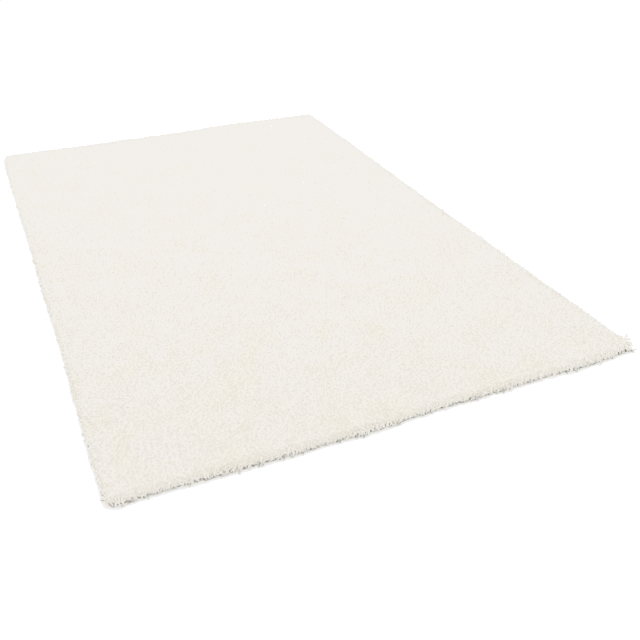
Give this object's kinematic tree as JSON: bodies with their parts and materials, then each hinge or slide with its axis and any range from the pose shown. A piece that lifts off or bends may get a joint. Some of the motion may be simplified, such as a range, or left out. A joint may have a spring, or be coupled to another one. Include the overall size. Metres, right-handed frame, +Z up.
{
  "type": "shag rug",
  "caption": "Rectangular ivory shag rug lying flat: deep lumpy yarn pile on a thin woven backing, with ragged locks of yarn hanging over its rim to the floor.",
  "frame": {"origin": "on the floor under the middle of the rug's bounding box", "axes": "+X along the short sides, +Y along the long sides towards the back, +Z up out of the pile"},
  "size_m": [1.65, 2.4504, 0.0314],
  "materials": {
    "pile_yarn": "ivory heat-set yarn, matt and softly fibrous, cut pile with loose curly ends",
    "backing_cloth": "plain woven jute cloth, grey brown, with a light coat of size"
  },
  "bodies": {
    "root": {"pile": "pile_yarn", "backing": "backing_cloth"}
  },
  "joints": []
}
